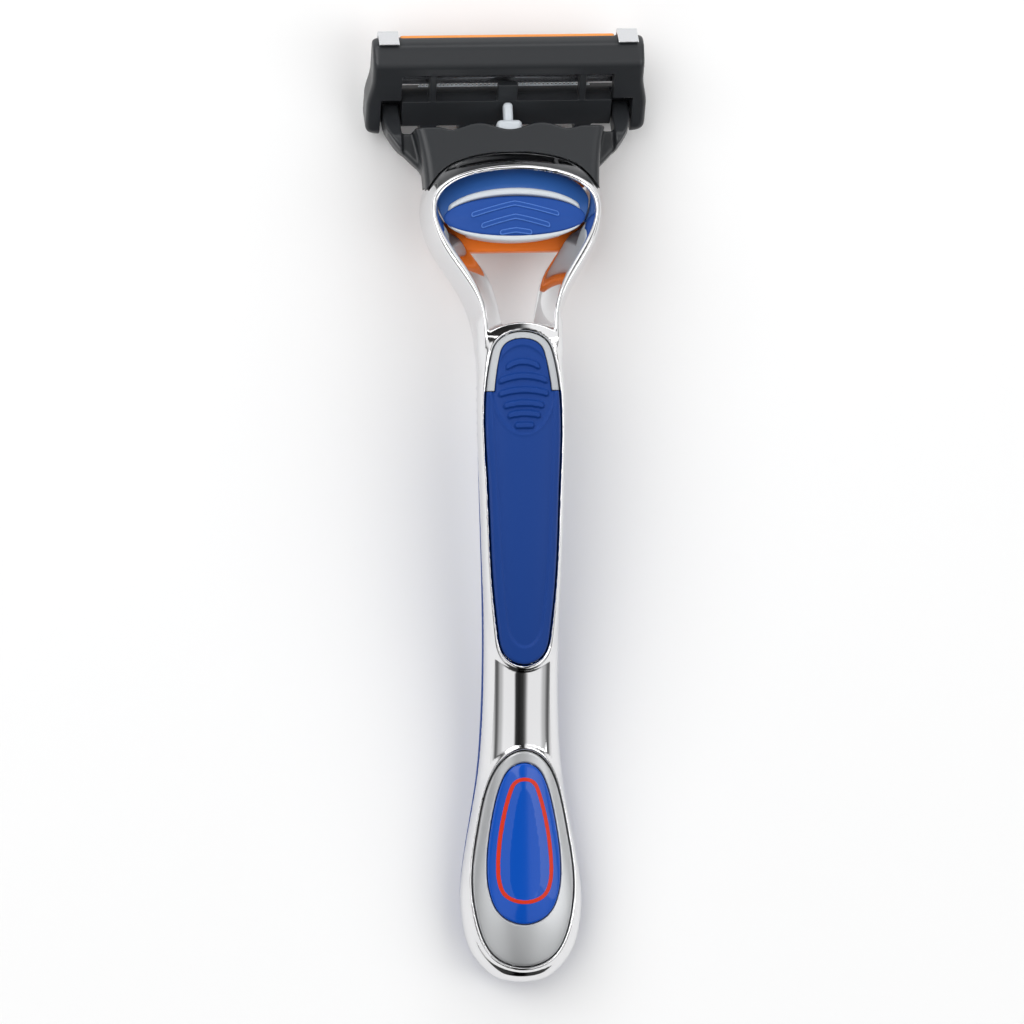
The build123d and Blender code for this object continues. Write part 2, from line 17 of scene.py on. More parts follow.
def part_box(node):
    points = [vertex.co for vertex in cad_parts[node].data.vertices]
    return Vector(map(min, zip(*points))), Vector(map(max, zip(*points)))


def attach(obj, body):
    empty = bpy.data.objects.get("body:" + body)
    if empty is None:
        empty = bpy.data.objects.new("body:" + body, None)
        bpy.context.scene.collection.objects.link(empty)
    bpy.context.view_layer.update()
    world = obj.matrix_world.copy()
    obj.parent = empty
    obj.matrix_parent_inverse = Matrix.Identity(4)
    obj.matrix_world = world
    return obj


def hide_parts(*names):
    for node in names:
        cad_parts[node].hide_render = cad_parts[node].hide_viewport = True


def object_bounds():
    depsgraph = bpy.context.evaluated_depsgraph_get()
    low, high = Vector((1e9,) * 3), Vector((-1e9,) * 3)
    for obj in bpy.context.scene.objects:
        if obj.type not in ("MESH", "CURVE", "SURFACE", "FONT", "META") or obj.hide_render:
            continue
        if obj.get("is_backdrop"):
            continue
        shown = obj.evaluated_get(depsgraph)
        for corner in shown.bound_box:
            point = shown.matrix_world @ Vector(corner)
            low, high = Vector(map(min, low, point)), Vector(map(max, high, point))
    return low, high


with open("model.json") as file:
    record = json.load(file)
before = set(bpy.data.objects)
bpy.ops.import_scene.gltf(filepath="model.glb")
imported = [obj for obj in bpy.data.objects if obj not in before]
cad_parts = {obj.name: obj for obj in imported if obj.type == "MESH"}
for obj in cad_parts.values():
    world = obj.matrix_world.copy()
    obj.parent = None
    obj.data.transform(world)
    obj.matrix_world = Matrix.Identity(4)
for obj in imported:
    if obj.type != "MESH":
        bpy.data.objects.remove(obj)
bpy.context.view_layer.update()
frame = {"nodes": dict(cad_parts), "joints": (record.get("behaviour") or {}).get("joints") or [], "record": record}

MM = 0.001
JOINTS = {joint["name"]: joint for joint in frame["joints"]}
MOUNTS = {mount["name"]: mount for mount in frame["record"]["mounts"]}

# ---------------------------------------------------------------- design values, in millimetres
TAIL_START = 0.35  # the CAD tail is cut this far from the outline's tip
DOCK_NOSE_U, DOCK_NOSE_W = 16.35, -1.0  # where the record's dock mount lies in the head frame
PIVOT_A, PIVOT_N = -4.9, 3.0  # where the blade pivot lies in the blade unit's frame
RING_TOP, RING_LOW, COLLAR_W = 4.3, -4.3, 1.5
RIDGE_W = -1.0  # height of the ridge inside the fork's opening
UNDERCUT_U = 6.3  # ahead of this the opening is hollowed under the rim
TURN_SOFTNESS = 60  # keeps the distance tame where the opening's outline turns sharply
PLUNGER_W = -1.0
BORE_R, FLANGE_R = 1.72, 1.58
FLANGE_U = 15.1
DOCK_REAR_U = 11.9
UNDER_REAR = -0.8
PAD_HALF, PAD_REAR, PAD_FRONT = 10.5, 0.3, 6.45  # the blue pad on the button
CORE_HALF, CORE_REAR, CORE_FRONT = 10.5, -0.6, 7.5  # the light rim round that pad
STROKE_HALF = 0.3
FAR = 9.0  # a distance larger than any between neighbouring details
EJECT_TRAVEL = JOINTS["eject_push"]["range_m"][1] / MM
FIRST_BLADE_A, BLADE_PITCH, BLADES = -0.9, 0.95, 5
BLADE_RAKE, BLADE_N = 25.0, 0.12

# handle stations: y, half width, middle z, half height, squareness
STATIONS = [
    (0.35, 2.8, 6.3, 1.7, 2.0), (1.6, 5.1, 6.1, 3.2, 2.1), (4.2, 7.3, 5.83, 4.48, 2.2),
    (8.0, 8.6, 5.73, 5.28, 2.3), (12.7, 9.0, 5.75, 5.55, 2.4), (18.3, 8.4, 5.95, 5.75, 2.4),
    (24.0, 7.4, 6.23, 5.98, 2.4), (30.0, 6.4, 6.85, 6.05, 2.4), (37.0, 5.8, 8.15, 5.95, 2.4),
    (48.0, 5.55, 11.05, 5.85, 2.5),
    (60.0, 5.75, 13.95, 5.75, 2.7), (74.0, 6.1, 16.15, 5.35, 3.0), (86.0, 6.25, 17.1, 4.8, 3.4),
    (98.0, 6.25, 16.4, 4.1, 3.8),
]
PARTING = [(-2, 4.3), (8, 4.5), (20, 5.5), (34, 8.2), (50, 12.2), (62, 14.9), (72, 16.2), (80, 15.6),
           (84.5, 13.9), (88.5, 11.2), (93, 7), (100, 0)]

# outlines seen from above, as (y or u, half width) from one tip to the other
PAD = [(46.9, 0), (48.0, 2.6), (51.5, 3.9), (60.0, 4.75), (74.0, 5.35), (86.0, 5.55), (92.3, 4.6),
       (95.2, 2.6), (95.8, 0)]
DISH = [(49.6, 0), (50.6, 1.7), (54.0, 2.7), (62.0, 3.4), (72.0, 3.95), (82.0, 4.4), (90.0, 4.6),
        (95.0, 4.0)]
PLATE = [(2.3, 0), (3.2, 3.4), (5.5, 5.6), (9.5, 7.0), (15.0, 7.6), (22.5, 6.7), (30.0, 4.9),
         (33.7, 2.2), (34.4, 0)]
LENS = [(8.7, 0), (9.7, 3.0), (12.6, 4.9), (17.0, 5.45), (24.0, 4.7), (29.8, 3.2), (32.0, 1.6),
        (32.5, 0)]
ACCENT = [(11.7, 0), (12.3, 2.4), (14.2, 3.9), (17.5, 4.25), (23.5, 3.6), (28.6, 2.3), (30.1, 1.2),
          (30.4, 0)]
INLAY = [(6.4, 0), (7.3, 2.7), (10.4, 4.4), (14.5, 4.8), (22.0, 4.1), (28.4, 2.7), (30.6, 1.3),
         (31.0, 0)]

# the head's outline and its opening at three heights each
OUTER_TOP = [(-17, 5.75), (-9.5, 6.3), (-5.8, 8.3), (-1.4, 11.0), (3.6, 12.4), (8.2, 10.2), (10.0, 5.4),
             (10.5, 0)]
OUTER_COLLAR = [(-17, 6.1), (-9.2, 7.0), (-5.2, 9.2), (-0.4, 12.0), (4.6, 13.1), (10.2, 11.2),
                (12.9, 6.2), (13.6, 0)]
OUTER_LOW = [(-17, 6.2), (-9.0, 7.4), (-4.6, 9.6), (0.3, 12.4), (5.2, 13.45), (10.6, 11.6), (13.4, 6.6),
             (14.2, 0)]
OPEN_TOP = [(-14.4, 4.86), (-9.5, 5.6), (-5.8, 7.2), (-1.4, 9.9), (3.4, 11.75), (7.6, 9.6), (9.3, 5.0),
            (9.75, 0)]
OPEN_MID = [(-12.6, 1.85), (-8.0, 2.7), (-4.3, 4.1), (-1.2, 6.3), (1.5, 8.3), (4.8, 10.9), (9.4, 10.9),
            (12.2, 6.6), (13.1, 0)]
OPEN_LOW = [(-13.4, 4.2), (-9.0, 5.3), (-5.2, 7.2), (-1.2, 9.4), (4.0, 10.9), (8.2, 9.6), (10.2, 5.0),
            (10.8, 0)]


# ---------------------------------------------------------------- frames
def place(origin, across, ahead, up):
    """The matrix from a local millimetre frame to the scene."""
    turn = Matrix((across, ahead, up)).transposed().to_4x4()
    return Matrix.Translation(origin) @ turn @ Matrix.Scale(MM, 4)


X_AXIS = Vector((1, 0, 0))
HEAD_AHEAD = Vector(JOINTS["eject_push"]["axis"])
HEAD_UP = X_AXIS.cross(HEAD_AHEAD)
HEAD_ORIGIN = Vector(MOUNTS["dock"]["pos_m"]) - (HEAD_AHEAD * DOCK_NOSE_U + HEAD_UP * DOCK_NOSE_W) * MM
UNIT_IN = Vector(JOINTS["blade_1_float"]["axis"])
UNIT_CAP = UNIT_IN.cross(X_AXIS)
UNIT_ORIGIN = Vector(JOINTS["blade_pivot"]["pos_m"]) - (UNIT_CAP * PIVOT_A + UNIT_IN * PIVOT_N) * MM
TAIL_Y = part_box("chrome_frame")[0].y - TAIL_START * MM
HANDLE = Matrix.Translation((0, TAIL_Y, 0)) @ Matrix.Scale(MM, 4)
HEAD = place(HEAD_ORIGIN, X_AXIS, HEAD_AHEAD, HEAD_UP)
UNIT = place(UNIT_ORIGIN, X_AXIS, UNIT_CAP, UNIT_IN)
HEAD_Y = (HEAD_ORIGIN.y - TAIL_Y) / MM
HEAD_Z = HEAD_ORIGIN.z / MM
PIVOT_FROM_HEAD = (Vector(JOINTS["blade_pivot"]["pos_m"]) - HEAD_ORIGIN) / MM
PIVOT_U, PIVOT_W = PIVOT_FROM_HEAD.dot(HEAD_AHEAD), PIVOT_FROM_HEAD.dot(HEAD_UP)


def to_head(y, z):
    """Head-frame u and w of a point given in the handle's frame."""
    along, up = y - HEAD_Y, z - HEAD_Z
    return along * HEAD_AHEAD.y + up * HEAD_AHEAD.z, along * HEAD_UP.y + up * HEAD_UP.z


# ---------------------------------------------------------------- numbers along a line
TABLE_STEP = 0.01
TABLE_MARGIN = 12.0


def curve(points):
    """Value and slope tables of a natural cubic through (position, value) pairs, straight beyond its ends."""
    at, value = (np.array(column, float) for column in zip(*points))
    count, gap = len(at), np.diff(at)
    matrix, rhs = np.eye(count), np.zeros(count)
    for i in range(1, count - 1):
        matrix[i, i - 1:i + 2] = gap[i - 1], 2 * (gap[i - 1] + gap[i]), gap[i]
        rhs[i] = 6 * ((value[i + 1] - value[i]) / gap[i] - (value[i] - value[i - 1]) / gap[i - 1])
    bend = np.linalg.solve(matrix, rhs)
    where = np.arange(at[0] - TABLE_MARGIN, at[-1] + TABLE_MARGIN, TABLE_STEP)
    held = np.clip(where, at[0], at[-1])
    i = np.clip(np.searchsorted(at, held) - 1, 0, count - 2)
    before, after = (held - at[i]) / gap[i], (at[i + 1] - held) / gap[i]
    table = (after * value[i] + before * value[i + 1]
             + gap[i] ** 2 / 6 * ((after ** 3 - after) * bend[i] + (before ** 3 - before) * bend[i + 1]))
    slope = np.gradient(table, TABLE_STEP)
    low, high = np.searchsorted(where, at[0]) + 1, np.searchsorted(where, at[-1]) - 2
    table[:low] = table[low] + slope[low] * (where[:low] - where[low])
    table[high:] = table[high] + slope[high] * (where[high:] - where[high])
    slope[:low], slope[high:] = slope[low], slope[high]
    return (where, table), (where, slope)


def read(table, at):
    return np.interp(at, *table)


def squared(points):
    """The curve of an outline's half width squared, which runs straight through zero at a tip."""
    return curve([(at, half * half) for at, half in points])


HALF, HALF_SLOPE = squared([(0, 0)] + [(s[0], s[1]) for s in STATIONS])
TALL = squared([(0, 0)] + [(s[0], s[3]) for s in STATIONS])[0]
MIDDLE = curve([(s[0], s[2]) for s in STATIONS])[0]
POWER = curve([(s[0], s[4]) for s in STATIONS])[0]
PART_Z, PART_SLOPE = curve(PARTING)
OUTLINES = {name: squared(points) for name, points in {
    "pad": PAD, "dish": DISH, "plate": PLATE, "lens": LENS, "accent": ACCENT, "inlay": INLAY,
    "outer_top": OUTER_TOP, "outer_collar": OUTER_COLLAR, "outer_low": OUTER_LOW,
    "open_top": OPEN_TOP, "open_mid": OPEN_MID, "open_low": OPEN_LOW,
}.items()}


# ---------------------------------------------------------------- fields
def soft_max(a, b, radius):
    """The higher of two fields, with the edge between them rounded."""
    mix = np.clip(0.5 + 0.5 * (a - b) / radius, 0, 1)
    return b + (a - b) * mix + radius * mix * (1 - mix)


def soft_min(a, b, radius):
    return -soft_max(-a, -b, radius)


def step(value, width):
    """0 below zero and 1 above it, with a smooth change over the given width."""
    t = np.clip(value / width + 0.5, 0, 1)
    return t * t * (3 - 2 * t)


def ramp(value):
    """Zero below zero and the value itself above it, with a rounded corner."""
    return 0.5 * (value + np.sqrt(value * value + 0.09))


def both(name, at):
    """An outline's squared half width and the slope of it."""
    return [read(table, at) for table in OUTLINES[name]]


def outline(name, x, at):
    """Distance from a mirrored outline."""
    value, slope = OUTLINES[name]
    return (x * x - read(value, at)) / np.sqrt(4 * x * x + read(slope, at) ** 2 + 1)


def layered(names, heights, x, u, w):
    """Distance from an outline that changes in a straight line between two heights."""
    share = (w - heights[0]) / (heights[1] - heights[0])
    squares = [read(OUTLINES[name][0], u) for name in names]
    slopes = [read(OUTLINES[name][1], u) for name in names]
    square = squares[0] + (squares[1] - squares[0]) * share
    slope = slopes[0] + (slopes[1] - slopes[0]) * share
    rise = (squares[1] - squares[0]) / (heights[1] - heights[0])
    return (x * x - square) / np.sqrt(4 * x * x + slope ** 2 + rise ** 2 + 1)


def body(x, y, z):
    """The handle's smooth outer form."""
    half = np.sqrt(np.maximum(read(HALF, y), 0.01))
    tall = np.sqrt(np.maximum(read(TALL, y), 0.01))
    up = z - read(MIDDLE, y)
    power = read(POWER, y)
    ratio = ((np.abs(x) / half) ** power + (np.abs(up) / tall) ** power) ** (1 / power)
    reach = np.hypot(x, up)
    lean = read(HALF_SLOPE, y) / (2 * half)
    distance = (reach - reach / np.maximum(ratio, 0.05)) / np.sqrt(1 + lean * lean)
    return np.maximum(distance, -y)


def above_middle(y, z):
    """Negative in the upper half of the handle."""
    return read(MIDDLE, y) - z


def parting(y, z):
    """Distance above the line where the back grip meets the frame."""
    return (z - read(PART_Z, y)) / np.sqrt(1 + read(PART_SLOPE, y) ** 2)


def head_outer(x, u, w):
    low = layered(("outer_low", "outer_collar"), (RING_LOW, COLLAR_W), x, u, w)
    top = layered(("outer_collar", "outer_top"), (COLLAR_W, RING_TOP), x, u, w)
    return soft_max(low, top, 0.8)


def head_opening(x, u, w):
    """The fork's opening, narrowest half way down, with an arched root."""
    up, down = ramp(w - RIDGE_W) / (RING_TOP - RIDGE_W), ramp(RIDGE_W - w) / (RIDGE_W - RING_LOW)
    up = up ** (1 + step(u - UNDERCUT_U, 1.5))
    tops, mids, lows = both("open_top", u), both("open_mid", u), both("open_low", u)
    square, slope = (mid + (top - mid) * up + (low - mid) * down for top, mid, low in zip(tops, mids, lows))
    sides = (x * x - square) / np.sqrt(4 * x * x + slope ** 2 + TURN_SOFTNESS)
    arch = -13.1 - 0.055 * x * x + 0.8 * (1 - np.clip(w / RING_TOP, -1, 1))
    return soft_max(sides, arch - u, 0.5)


def spring_bore(x, u, w, front):
    """The round hole behind the plunger, in the head frame."""
    return soft_max(np.hypot(x, w - PLUNGER_W) - BORE_R, np.maximum(11.0 - u, u - front), 0.1)


def bead(distance, height, radius):
    """A round bead standing on the line where both distances are zero."""
    return np.hypot(distance, height) - radius


PAD_POCKET, PLATE_POCKET = 1.9, 1.6


def chrome_frame(x, y, z):
    u, w = to_head(y, z)
    hull = body(x, y, z)
    handle = soft_max(soft_max(hull, -parting(y, z), 0.3), y - 97.5, 0.8)
    ring = soft_max(head_outer(x, u, w), np.abs(w) - RING_TOP, 0.45)
    ring = soft_max(ring, -16.8 - u, 2.0)
    solid = soft_min(handle, ring, 1.2)
    solid = soft_max(solid, -head_opening(x, u, w), 0.4)
    solid = soft_max(solid, -spring_bore(x, u, w, 14.6), 0.1)
    pad, plate = outline("pad", x, y), outline("plate", x, y)
    upper = above_middle(y, z)
    pad_bead = soft_max(bead(pad - 0.42, hull + 0.12, 0.42), upper, 0.2)
    plate_bead = soft_max(bead(plate - 0.3, hull + 0.1, 0.3), upper, 0.2)
    solid = soft_min(solid, pad_bead, 0.35)
    solid = soft_min(solid, plate_bead, 0.3)
    pocket = np.maximum(np.maximum(pad, -hull - PAD_POCKET), upper)
    tray = np.maximum(np.maximum(plate, -hull - PLATE_POCKET), upper)
    solid = soft_max(solid, -pocket, 0.28)
    solid = soft_max(solid, -tray, 0.25)
    for i in range(5):  # knurls on both sides of the neck
        along = y - (80.8 + 1.7 * i)
        knurl = np.sqrt((np.abs(x) - 6.08) ** 2 + along ** 2 + ((z - 17.3) * 0.4) ** 2) - 0.42
        solid = soft_min(solid, knurl, 0.15)
    return solid


def grip_ribs(x, y):
    """How far the back grip's surface is sunk: a ribbed channel with a border, and arcs at its front end."""
    channel = np.abs(x) - 4.0
    ends = np.maximum(36.5 - y, y - 82.5)
    inside = step(-np.maximum(channel, ends), 0.7)
    bend = y + 0.05 * x * x
    phase = (bend - 36.5) / 2.75 * math.tau
    groove = 0.5 + 0.5 * np.cos(phase)
    fine = 0.5 + 0.5 * np.cos(phase + math.pi)
    ribs = 0.34 * groove ** 5 + 0.12 * fine ** 9
    radius = np.hypot(x, y - 76.0)
    arcs = 0.34 * (0.5 + 0.5 * np.cos(radius / 2.6 * math.tau)) ** 5
    front = step(y - 77.5, 1.0)
    return inside * (0.22 + ribs * (1 - front) + arcs * front)


def back_grip(x, y, z):
    hull = body(x, y, z) - 0.04
    lower = step(read(MIDDLE, y) - 2.0 - z, 1.0)
    skin_field = soft_max(hull + grip_ribs(x, y) * lower, parting(y, z) + 0.1, 0.35)
    recess = np.maximum(outline("inlay", x, y) - 0.9, z - 0.9)
    return soft_max(skin_field, -recess, 0.3)


def back_inlay(x, y, z):
    plan = outline("inlay", x, y)
    return soft_max(plan, np.abs(z - 0.75) - 0.75, 0.5)


CRESCENT_END = 87.0


def blue_plan(x, y):
    """The blue pad's outline: it leaves room for the grey crescent at its head end."""
    full = outline("pad", x, y) + 0.16
    return soft_min(full + 1.25, np.maximum(full, y - CRESCENT_END), 0.1)


def pad_crescent(x, y, z):
    hull = body(x, y, z)
    plan = soft_max(outline("pad", x, y) + 0.14, 84.0 - y, 0.2)
    ledge = soft_max(soft_max(plan, hull - 0.12, 0.3), -hull - PAD_POCKET, 0.1)
    return soft_max(ledge, -np.maximum(blue_plan(x, y) - 0.05, -hull - 1.3), 0.12)


PAD_OVAL_Y, PAD_OVAL_HALF_X, PAD_OVAL_HALF_Y = 87.2, 4.5, 6.45
PAD_RIBS = [(91.3, 2.5, 0.14), (89.2, 3.6, 0.06), (87.15, 3.65, 0.045), (85.25, 2.95, 0.05),
            (83.75, 2.4, 0.06), (82.0, 1.4, 0.03)]


def pad_relief(x, y):
    """The thumb pad's surface: a tapering dish, and a deeper oval with arched ribs."""
    dish = step(-outline("dish", x, y), 0.5)
    reach = np.sqrt((x / PAD_OVAL_HALF_X) ** 2 + ((y - PAD_OVAL_Y) / PAD_OVAL_HALF_Y) ** 2)
    oval = (reach - 1) * 4.9
    inside = step(-oval, 0.35)
    rim = np.exp(-(oval / 0.28) ** 2)
    ribs = np.zeros_like(x)
    for at, half, bow in PAD_RIBS:
        along = np.hypot(np.maximum(np.abs(x) - half + 0.45, 0), y - at + bow * x * x)
        ribs = np.maximum(ribs, step(0.45 - along, 0.35))
    height = 0.35 - 0.3 * dish * (1 - inside) - 0.5 * inside
    return height + 0.12 * rim + 0.42 * ribs * inside


def thumb_pad(x, y, z):
    hull = body(x, y, z)
    top = hull - pad_relief(x, y)
    shell = soft_max(blue_plan(x, y), top, 0.55)
    return soft_max(shell, np.maximum(-hull - 1.3, above_middle(y, z)), 0.1)


def tail_plate(x, y, z):
    hull = body(x, y, z)
    plan = outline("plate", x, y) + 0.14
    plate = soft_max(plan, hull - 0.1, 0.35)
    plate = soft_max(plate, np.maximum(-hull - PLATE_POCKET, above_middle(y, z)), 0.1)
    return soft_max(plate, -(outline("lens", x, y) - 0.05), 0.25)


def lens_height(x, y):
    return 0.1 + 0.75 * np.sqrt(np.clip(-outline("lens", x, y) / 5.0, 0, 1))


def tail_lens(x, y, z):
    hull = body(x, y, z)
    plan = outline("lens", x, y) + 0.03
    dome = soft_max(plan, hull - lens_height(x, y), 0.25)
    return soft_max(dome, np.maximum(-hull - 1.2, above_middle(y, z)), 0.1)


def accent_ring(x, y, z):
    hull = body(x, y, z)
    line = outline("accent", x, y) + 0.35
    height = hull - lens_height(x, y)
    return soft_max(np.abs(line) - 0.34, np.abs(height + 0.2) - 0.23, 0.04)


# the button, in the head frame
TIP_U = 3.3  # where the button's two pointed ends lie


def oval(x, u, half, deep):
    """Distance from an ellipse about the origin."""
    reach = np.hypot(x / half, u / deep)
    lean = np.hypot(x / half ** 2, u / deep ** 2)
    return (reach - 1) * (reach + 0.05) / (lean + 0.05 / deep)


def eye(x, u, half, rear, front):
    """A flat oval of two half ellipses that meet at the button's ends."""
    return oval(x, u - TIP_U, half, np.where(u > TIP_U, front - TIP_U, TIP_U - rear))


def button_crest(x, u):
    """Height of the light rim that frames the button's pad."""
    return 3.0 - 0.010 * x * x - 0.25 * np.clip(u - 6.8, 0, 3) - 0.7 * step(np.abs(x) - 9.6, 0.6)


def button_core(x, u, w):
    plan = eye(x, u + 0.18 * (w - 3.0), CORE_HALF, CORE_REAR, CORE_FRONT)
    waist = np.abs(x) - 7.0 - 3.6 * step(w - 0.9, 0.8)
    shell = soft_max(soft_max(plan, waist, 0.3), w - button_crest(x, u), 0.5)
    seat = eye(x, u, 10.3, 0.25, 6.5)
    shell = soft_max(shell, -np.maximum(seat, 1.6 - w), 0.25)
    return soft_max(shell, -2.4 - w, 0.2)


def chevrons(x, u):
    """Distance outside the strokes on the button's pad: two chevrons and a short arc."""
    reach = np.abs(x)
    nearest = np.full_like(x, FAR)
    for peak, half, drop in ((5.2, 6.1, 1.6), (3.15, 4.7, 1.2), (1.15, 2.0, 0.3)):
        line = u - (peak - drop * (reach / half) ** 1.15)
        nearest = np.minimum(nearest, np.hypot(np.maximum(reach - half, 0), line) - STROKE_HALF)
    return nearest


def pad_top(x, u):
    """The button pad's outline, and the height of its slightly domed face."""
    plan = eye(x, u, PAD_HALF, PAD_REAR, PAD_FRONT)
    return plan, 2.45 + 0.35 * np.clip(-plan / 3.0, 0, 1) - 0.006 * x * x


def button_pad(x, u, w):
    plan, top = pad_top(x, u)
    top = top + 0.2 * step(-chevrons(x, u), 0.14)
    return soft_max(soft_max(plan, w - top, 0.45), 1.5 - w, 0.1)


def chevron_painted_highlights(x, u, w):
    """A lighter blue bead round each stroke: a painted highlight standing in for light catching the strokes'
    edges.
    """
    plan, top = pad_top(x, u)
    return bead(chevrons(x, u), w - top - 0.1, 0.11)


def button_shield(x, u, w):
    """The skirt between the button and the ring: it slopes down under the rim, clear of it when pushed."""
    room = np.maximum(head_opening(x, u, w), head_opening(x, u + EJECT_TRAVEL, w)) + 0.12
    behind = eye(x, u, 10.1, -0.6, 6.9)
    fall = np.clip(eye(x, u, 10.5, -0.6, 7.4), 0, 6)
    top = 2.45 - 0.010 * x * x - 0.25 * fall - 0.045 * fall ** 2
    shell = soft_max(soft_max(room, -behind, 0.1), w - top, 0.3)
    shell = soft_max(shell, 2.6 - u, 0.3)
    shell = soft_max(shell, -np.maximum(np.hypot(x, w - PLUNGER_W) - BORE_R, 9.9 - u), 0.1)
    return soft_max(shell, np.maximum(top - 1.6 - w, -1.9 - w), 0.2)


def under_pad(x, u, w):
    """The coloured pad under the button: straight behind, round ahead, with a raised border."""
    plan = soft_max(oval(x, u - 2.4, 9.9, 5.3), UNDER_REAR - u, 0.8)
    plate = soft_max(plan, np.abs(w + 3.15) - 0.8, 0.5)
    dish = np.maximum(plan + 1.0, w + 3.72)
    return soft_max(plate, -dish, 0.35)


# the dock and the plunger, in the head frame
def rounded_box(point, middle, half, radius):
    """Distance from a box with rounded edges."""
    reach = [np.abs(at - m) - h + radius for at, m, h in zip(point, middle, half)]
    outside = np.sqrt(sum(np.maximum(side, 0) ** 2 for side in reach))
    return outside + np.minimum(np.maximum.reduce(reach), 0) - radius


def segment(u, w, start, end):
    """Distance from a line between two points, and how far along it the nearest point lies."""
    run = (end[0] - start[0], end[1] - start[1])
    share = np.clip(((u - start[0]) * run[0] + (w - start[1]) * run[1]) / (run[0] ** 2 + run[1] ** 2), 0, 1)
    return np.hypot(u - start[0] - share * run[0], w - start[1] - share * run[1]), share


def dock_block(x, u, w):
    """The nose that the cartridge slides on: a flat dome, a ridge round the plunger and two tab slots."""
    reach = np.sqrt((x / 11.7) ** 2 + ((u - 8.0) / 8.35) ** 2)
    dome = soft_max((reach - 1) * 8.5, np.abs(w + 1.0) - 2.2, 1.6)
    ridge = rounded_box((x, u, w), (0, 15.3, -1.0), (1.9, 3.1, 1.9), 0.7)
    dock = soft_min(dome, ridge, 1.2)
    slot = rounded_box((x, u, w), (0, 17.5, -1.0), (0.75, 3.5, 1.0), 0.2)
    dock = soft_max(dock, -np.minimum(slot, spring_bore(x, u, w, 15.8)), 0.15)
    tab_slot = rounded_box((np.abs(x), u, w), (7.6, 12.0, -1.6), (1.45, 4.2, 0.9), 0.2)
    dock = soft_max(dock, -tab_slot, 0.15)
    dock = soft_max(dock, -(head_outer(x, u, w) - 0.03), 0.1)
    return soft_max(dock, DOCK_REAR_U - u, 0.1)


def plunger(x, u, w):
    blade_part = rounded_box((x, u, w), (0, 18.3, PLUNGER_W), (0.7, 3.0, 0.9), 0.55)
    flange = soft_max(np.hypot(x, w - PLUNGER_W) - FLANGE_R, np.abs(u - FLANGE_U) - 0.5, 0.2)
    return soft_min(blade_part, flange, 0.3)


# the cartridge: the yoke in the head frame, the rest in the blade unit's
ARM_MIDDLE, ARM_HALF = 17.1, 1.3
WING = curve([(9.0, 11.2), (11.0, 12.6), (13.0, 14.5), (15.0, 16.3), (17.0, 17.6), (19.4, 18.4),
              (22.6, 18.6)])[0]  # how far the connector's wings reach sideways, along u


def yoke(x, u, w):
    """The connector: a bell round the dock with a scalloped mouth, two wings and the arms to the pivots."""
    reach = np.abs(x)
    half = 12.9 + 0.014 * np.clip(u - 8.0, 0, 12) ** 2
    top = 2.05 - 0.001 * x * x - 0.03 * np.clip(u - 12.0, 0, 9)
    front = 17.5 - 0.5 * np.cos(reach / 4.6 * math.pi) * step(9.6 - reach, 3.0) - 0.3 * step(w, 4.0)
    bell = soft_max(reach - half, np.maximum(w - top, -4.4 - w), 1.5)
    bell = soft_max(bell, u - front, 0.4)
    wing = soft_max((reach - read(WING, u)) * 0.75, np.abs(w + 3.2) - 1.2, 0.8)
    wing = soft_max(wing, np.maximum(u - 17.2, 11.6 - reach), 0.5)
    along, share = segment(u, w, (15.9, -2.6), (PIVOT_U, PIVOT_W))
    arm = soft_max(along - 1.95 + 0.3 * share, np.abs(reach - ARM_MIDDLE) - ARM_HALF, 0.4)
    arm = soft_max(arm, (reach - read(WING, u)) * 0.75, 0.4)
    pin = np.maximum(np.hypot(u - PIVOT_U, w - PIVOT_W) - 1.0, np.abs(reach - 19.2) - 0.9)
    solid = soft_min(soft_min(bell, wing, 0.5), soft_min(arm, pin, 0.1), 0.6)
    dome = (np.sqrt((x / 11.95) ** 2 + ((u - 8.0) / 8.6) ** 2) - 1) * 8.6
    mouth = np.maximum(reach - 10.4, 8.0 - u)
    inside = soft_max(np.minimum(dome, mouth), np.abs(w + 1.0) - 2.38, 0.5)
    solid = soft_max(solid, -inside, 0.25)
    return soft_max(solid, -(head_outer(x, u, w) - 0.12), 0.15)


CAP_A, GUARD_A, BACK_N = 7.9, -7.9, 5.0
ROD_A, ROD_N = -6.4, 1.6
KNUCKLES = [(0.0, 1.65), (5.75, 1.2), (11.5, 1.2)]


def unit_hull(x, a, n):
    """The blade unit's outer form: bevelled all round, with rounded cheeks at the guard's corners."""
    edge = math.sqrt(0.5)
    side = soft_max(np.maximum(-n, n - BACK_N), np.maximum(GUARD_A - a, a - CAP_A), 0.35)
    bevels = ((-a - n - 7.0), (a - n - 7.2), (a + n - 10.5), (n - a - 11.7))
    for bevel in bevels:
        side = soft_max(side, bevel * edge, 0.5)
    width = 20.1 + 0.7 * step(0.2 - a, 5.0)
    ends = soft_max(np.abs(x) - width, GUARD_A - a, 2.6)
    ends = soft_max(ends, a - CAP_A, 1.0)
    return soft_max(side, ends, 0.9)


